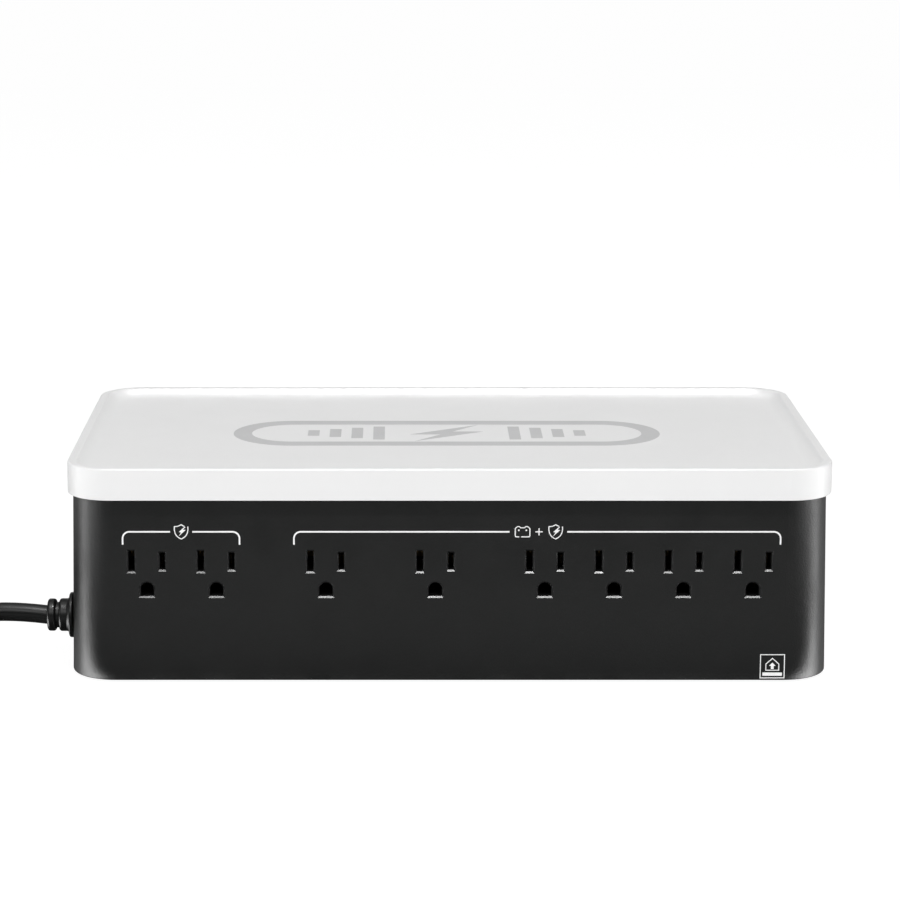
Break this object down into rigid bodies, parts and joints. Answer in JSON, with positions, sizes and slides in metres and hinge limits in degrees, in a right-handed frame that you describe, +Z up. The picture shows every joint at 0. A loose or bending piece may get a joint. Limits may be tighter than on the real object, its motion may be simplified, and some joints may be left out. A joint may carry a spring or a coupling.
{
  "type": "uninterruptible power supply",
  "caption": "Low wide desktop uninterruptible power supply with outlets along one long face, a tray-shaped top cover, a power button, charging ports and a mains lead.",
  "frame": {"origin": "centre of the footprint, on the surface the feet stand on, measured without the free cord", "axes": "+Z up, outlets face -Y, the power button faces +Y, the cord leaves towards -X"},
  "size_m": [0.4785, 0.175, 0.0907],
  "materials": {
    "white_cover": "satin moulded",
    "black_housing": "satin, fine texture",
    "black_base": "fine texture",
    "feet": "matte",
    "zinc": "zinc plated",
    "outlet_plastic": "smooth",
    "contact_brass": "formed strip",
    "battery_plastic": "smooth",
    "battery_metal": "grey metal",
    "tin_tabs": "tin plated",
    "board_green": "solder mask",
    "ferrite": "sintered",
    "bobbin_plastic": "smooth",
    "copper_wire": "enamelled",
    "sink_aluminium": "extruded",
    "component_black": "moulded",
    "relay_plastic": "moulded",
    "capacitor_yellow": "moulded",
    "varistor_blue": "dipped",
    "fuse_plastic": "clear tinted",
    "button_plastic": "satin",
    "light_plastic": "frosted",
    "port_plastic": "smooth",
    "cord_pvc": "satin",
    "tie_plastic": "smooth",
    "wire_red": "satin",
    "wire_black": "satin",
    "wire_white": "satin",
    "wire_green": "satin",
    "label_film": "satin film"
  },
  "bodies": {
    "chassis": {"top_cover": "white_cover", "housing": "black_housing", "base_plate": "black_base", "rubber_feet": "feet", "base_screws": "zinc", "inner_screws": "zinc", "outlet_block_surge": "outlet_plastic", "outlet_block_backup": "outlet_plastic", "outlet_block_covers": "outlet_plastic", "neutral_contacts": "contact_brass", "line_contacts": "contact_brass", "ground_contacts": "contact_brass", "battery_case": "battery_plastic", "battery_lid": "battery_plastic", "battery_plates": "battery_metal", "battery_terminals": "tin_tabs", "main_board": "board_green", "panel_board": "board_green", "data_board": "board_green", "transformer_core": "ferrite", "choke_core": "ferrite", "transformer_bobbin": "bobbin_plastic", "transformer_winding": "copper_wire", "choke_windings": "copper_wire", "heatsink": "sink_aluminium", "power_transistors": "component_black", "bulk_capacitors": "component_black", "relays": "relay_plastic", "line_capacitor": "capacitor_yellow", "varistors": "varistor_blue", "battery_fuse_holder": "component_black", "battery_fuse": "fuse_plastic", "buzzer": "component_black", "control_chips": "component_black", "power_switch": "component_black", "light_pipe": "light_plastic", "status_led": "light_plastic", "usb_shells": "tin_tabs", "usb_tongues": "port_plastic", "data_jacks": "component_black", "breaker_body": "component_black", "breaker_nut": "zinc", "breaker_tabs": "tin_tabs", "strain_relief": "cord_pvc", "power_cord": "cord_pvc", "cord_coil": "cord_pvc", "cord_tie": "tie_plastic", "plug_body": "cord_pvc", "plug_blades": "contact_brass", "lead_connectors": "relay_plastic", "battery_lead_positive": "wire_red", "battery_lead_negative": "wire_black", "line_lead": "wire_black", "neutral_lead": "wire_white", "ground_lead": "wire_green", "rating_label": "label_film"},
    "battery_door": {"battery_door": "black_base"},
    "power_button": {"power_button": "button_plastic", "switch_plunger": "component_black"},
    "reset_button": {"reset_button": "button_plastic"}
  },
  "joints": [
    {"name": "battery_door_slide", "type": "slide", "parent": "chassis", "child": "battery_door", "axis": [1, 0, 0], "range_m": [0, 0.176]},
    {"name": "power_button_press", "type": "slide", "parent": "chassis", "child": "power_button", "axis": [0, -1, 0], "range_m": [0, 0.0008], "stiffness_N_per_m": 400, "springref_m": -0.002},
    {"name": "reset_button_travel", "type": "slide", "parent": "chassis", "child": "reset_button", "axis": [-1, 0, 0], "range_m": [0, 0.003]}
  ]
}
